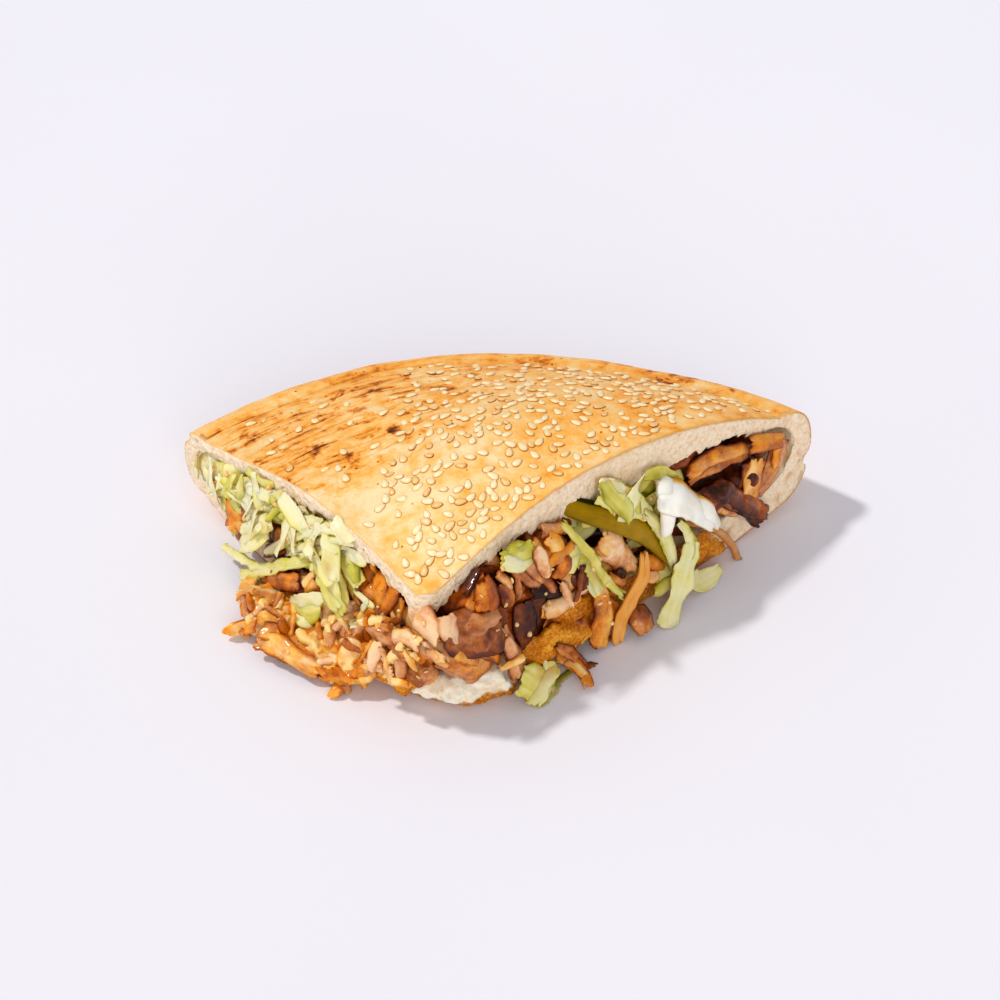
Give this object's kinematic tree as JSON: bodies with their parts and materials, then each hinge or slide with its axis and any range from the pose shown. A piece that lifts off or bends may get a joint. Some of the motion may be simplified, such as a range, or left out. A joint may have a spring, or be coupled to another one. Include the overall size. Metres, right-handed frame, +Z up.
{
  "type": "doner kebab sandwich",
  "caption": "Quarter wedge of sesame flatbread split as a pocket, filled with roasted meat, shredded cabbage, pickle and sauce that spill from both cut sides.",
  "frame": {"origin": "on the flat underside of the bread, near the middle of the wedge in plan", "axes": "+X from the wedge's left corner to its right corner, +Y from the cut tip towards the round crust, +Z up out of the top crust"},
  "size_m": [0.2228, 0.1647, 0.0679],
  "materials": {
    "bread": "matte baked crust over pale crumb",
    "meat": "moist roasted meat",
    "cabbage_left": "moist shredded cabbage",
    "cabbage_corner": "moist shredded cabbage",
    "cabbage_right": "moist shredded cabbage",
    "cabbage_middle": "moist shredded cabbage",
    "cabbage_tip": "moist shredded cabbage",
    "cabbage_low": "moist shredded cabbage",
    "leaf_spill": "moist cabbage leaf",
    "drooping_shred": "moist cabbage shred",
    "long_shred": "moist cabbage shred",
    "hanging_shred": "moist cabbage shred",
    "pickle": "wet pickled cucumber",
    "sauce": "thick glossy yoghurt sauce",
    "onion_strand": "soft cooked onion",
    "orange_strip": "oily strip of meat"
  },
  "bodies": {
    "root": {"bread": "bread", "meat": "meat", "cabbage_left": "cabbage_left", "cabbage_corner": "cabbage_corner", "cabbage_right": "cabbage_right", "cabbage_middle": "cabbage_middle", "cabbage_tip": "cabbage_tip", "cabbage_low": "cabbage_low", "leaf_spill": "leaf_spill", "drooping_shred": "drooping_shred", "long_shred": "long_shred", "hanging_shred": "hanging_shred", "pickle": "pickle", "sauce": "sauce", "onion_strand": "onion_strand", "orange_strip": "orange_strip"}
  },
  "joints": []
}
